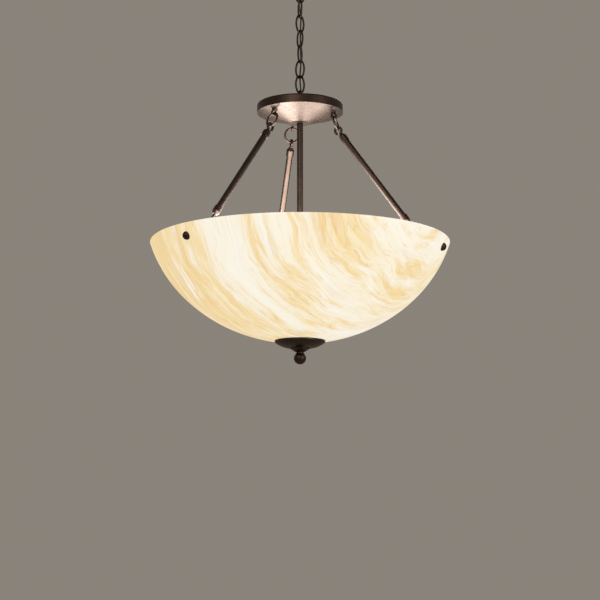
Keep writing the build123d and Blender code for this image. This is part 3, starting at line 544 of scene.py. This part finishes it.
BULB_TIP = 0.0487
BASE_START = 0.0557
BASE_END = 0.0777
BASE_RADIUS = 0.013
BASE_FACE_RADIUS = 0.0105
BASE_FACE = BASE_START - 0.001
NECK_END = 0.0877
NECK_STRAIGHT = 0.004
GLOBE_PLACE = 0.1367
GLOBE_RADIUS = 0.030
GLASS_TUCK = 0.002
THREAD_PITCH = 0.0036
THREAD_DEPTH = 0.0007
THREAD_RUN_OUT = 0.003
THREAD_INSET = 0.0005
THREAD_STEPS = 60
NECK_STEPS = 8
GLOBE_STEPS = 28
GLASS_FACES = 64
SCREW_FACES = 48
TIP_FACES = 40


def thread_radius(place):
    """Radius of a rolled screw thread at a place along the base, as a function of the turn."""
    run_in = (place - BASE_START) / THREAD_PITCH
    run_out = (BASE_END - THREAD_RUN_OUT - place) / THREAD_PITCH
    rise = max(0.0, min(1, run_in, run_out))

    def radius(turn):
        wave = 0.5 - 0.5 * math.cos(2 * math.pi * place / THREAD_PITCH - turn)
        return BASE_RADIUS - 0.0001 - THREAD_DEPTH * rise * wave

    return radius


# Outlines along the lamp's axis: each is a list of places with a radius
neck_reach = math.hypot(GLOBE_PLACE - NECK_END, BASE_RADIUS)
neck_slope = math.asin(GLOBE_RADIUS / neck_reach) - math.asin(BASE_RADIUS / neck_reach)
join = math.pi / 2 + neck_slope
join_place = GLOBE_PLACE + GLOBE_RADIUS * math.cos(join)
join_radius = GLOBE_RADIUS * math.sin(join)
glass = [
    (BASE_END - GLASS_TUCK, 0),
    (BASE_END - GLASS_TUCK, BASE_RADIUS - 0.0008),
    (BASE_END, BASE_RADIUS - 0.0003),
    (NECK_END - NECK_STRAIGHT, BASE_RADIUS),
    (NECK_END, BASE_RADIUS),
]
for step in range(1, NECK_STEPS):
    share = step / NECK_STEPS
    place = NECK_END + (join_place - NECK_END) * share
    glass.append((place, BASE_RADIUS + (join_radius - BASE_RADIUS) * share))
for step in range(GLOBE_STEPS):
    angle = join * (1 - step / GLOBE_STEPS)
    glass.append((GLOBE_PLACE + GLOBE_RADIUS * math.cos(angle), GLOBE_RADIUS * math.sin(angle)))
glass.append((GLOBE_PLACE + GLOBE_RADIUS, 0))

screw = [(BASE_FACE, 0), (BASE_FACE, BASE_FACE_RADIUS), (BASE_START, BASE_RADIUS - 0.0004)]
thread_length = BASE_END - BASE_START - 2 * THREAD_INSET
for step in range(THREAD_STEPS + 1):
    place = BASE_START + THREAD_INSET + thread_length * step / THREAD_STEPS
    screw.append((place, thread_radius(place)))
screw += [(BASE_END - 0.0003, BASE_RADIUS - 0.0006), (BASE_END - 0.0003, 0)]

tip = [
    (BULB_TIP, 0),
    (BULB_TIP, 0.0030),
    (BULB_TIP + 0.0008, 0.0045),
    (BULB_TIP + 0.0016, 0.0050),
    (BULB_TIP + 0.0030, 0.0050),
    (BASE_START - 0.0002, 0.0120),
    (BASE_START - 0.0002, 0),
]

for number, azimuth in enumerate(LAMP_AZIMUTHS, start=1):
    turn = math.radians(azimuth)
    heading = polar(math.cos(LAMP_TILT), azimuth, math.sin(LAMP_TILT))
    side = Vector((math.sin(turn), -math.cos(turn), 0))
    matrix = Matrix((heading, side.cross(heading), side)).transposed().to_4x4()
    matrix.translation = Vector((0, 0, LAMP_AXIS_Z))

    name = f"bulb_glass_{number}"
    piece = turned_piece(name, glass, matrix, GLASS_FACES, lamp_glass)
    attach(piece, f"bulb_{number}")
    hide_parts(f"bulb_{number}")
    name = f"bulb_screw_{number}"
    piece = turned_piece(name, screw, matrix, SCREW_FACES, brass)
    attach(piece, f"bulb_{number}")
    name = f"bulb_tip_{number}"
    piece = turned_piece(name, tip, matrix, TIP_FACES, socket_shell)
    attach(piece, f"bulb_{number}")


# Light from inside the bowl, upwards to the pan and the arms


def area_light(name, place, aim, size, power, colour):
    data = bpy.data.lights.new(name, "AREA")
    data.shape = "DISK"
    data.size = size
    data.energy = power
    data.color = colour
    light = bpy.data.objects.new(name, data)
    light.location = place
    light.rotation_euler = (Vector(aim) - Vector(place)).to_track_quat("-Z", "Y").to_euler()
    light.visible_camera = False
    scene.collection.objects.link(light)
    return light


for name, place, size, power, colour in (
    ("bowl_glow", (0, 0, RIM_Z), 0.57, 9.5, (1.0, 1.0, 1.0)),
    ("lamp_glow", (-0.095, 0.15, RIM_Z - 0.002), 0.12, 0.80, (1.0, 1.0, 1.0)),
):
    glow = area_light(name, place, (0, 0, PAN_TOP), size, power, colour)
    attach(glow, "pendant")

# Studio light
area_light("key_light", (-1.5, -4.2, 1.0), (0, 0, -0.5), 2.4, 38, (1.0, 0.92, 0.83))
area_light("fill_light", (3.2, -2.6, -0.6), (0, 0, -0.5), 2.0, 36, (1.0, 0.92, 0.83))
area_light("back_light", (0.6, 3.4, 1.6), (0, 0, -0.4), 2.0, 22, (1.0, 0.94, 0.87))

BACKDROP = (0.255, 0.228, 0.197, 1)
world = bpy.data.worlds.new("studio")
world.use_nodes = True
world.node_tree.nodes["Background"].inputs["Color"].default_value = BACKDROP
scene.world = world

# Floor, far below the hanging light
FLOOR_Z = -4.0
FLOOR_RADIUS = 24
floor_mesh = bpy.data.meshes.new("floor")
made = bmesh.new()
bmesh.ops.create_circle(made, cap_ends=True, radius=FLOOR_RADIUS, segments=96)
made.to_mesh(floor_mesh)
made.free()
floor = bpy.data.objects.new("floor", floor_mesh)
floor.location = (0, 0, FLOOR_Z)
scene.collection.objects.link(floor)
floor_nodes = Nodes("pale_floor")
floor_tone = floor_nodes.ramp(
    floor_nodes.noise(floor_nodes.position(), 0.8, 3),
    (0.3, (0.84, 0.79, 0.73)),
    (0.7, (0.88, 0.83, 0.77)),
)
floor_nodes.set(Base_Color=floor_tone, Roughness=0.9)
floor_mesh.materials.append(floor_nodes.material)

# Camera, low in front and looking up
CAMERA_DISTANCE = 3.5
CAMERA_BELOW_RIM = 0.6853
CAMERA_RISE = math.radians(9.204)
CAMERA_FIELD = math.radians(19.565)
camera_data = bpy.data.cameras.new("camera")
camera_data.sensor_width = 36
camera_data.lens = camera_data.sensor_width / 2 / math.tan(CAMERA_FIELD / 2)
camera = bpy.data.objects.new("camera", camera_data)
camera.location = (0, -CAMERA_DISTANCE, RIM_Z - CAMERA_BELOW_RIM)
camera.rotation_euler = (math.pi / 2 + CAMERA_RISE, 0, 0)
scene.collection.objects.link(camera)
scene.camera = camera
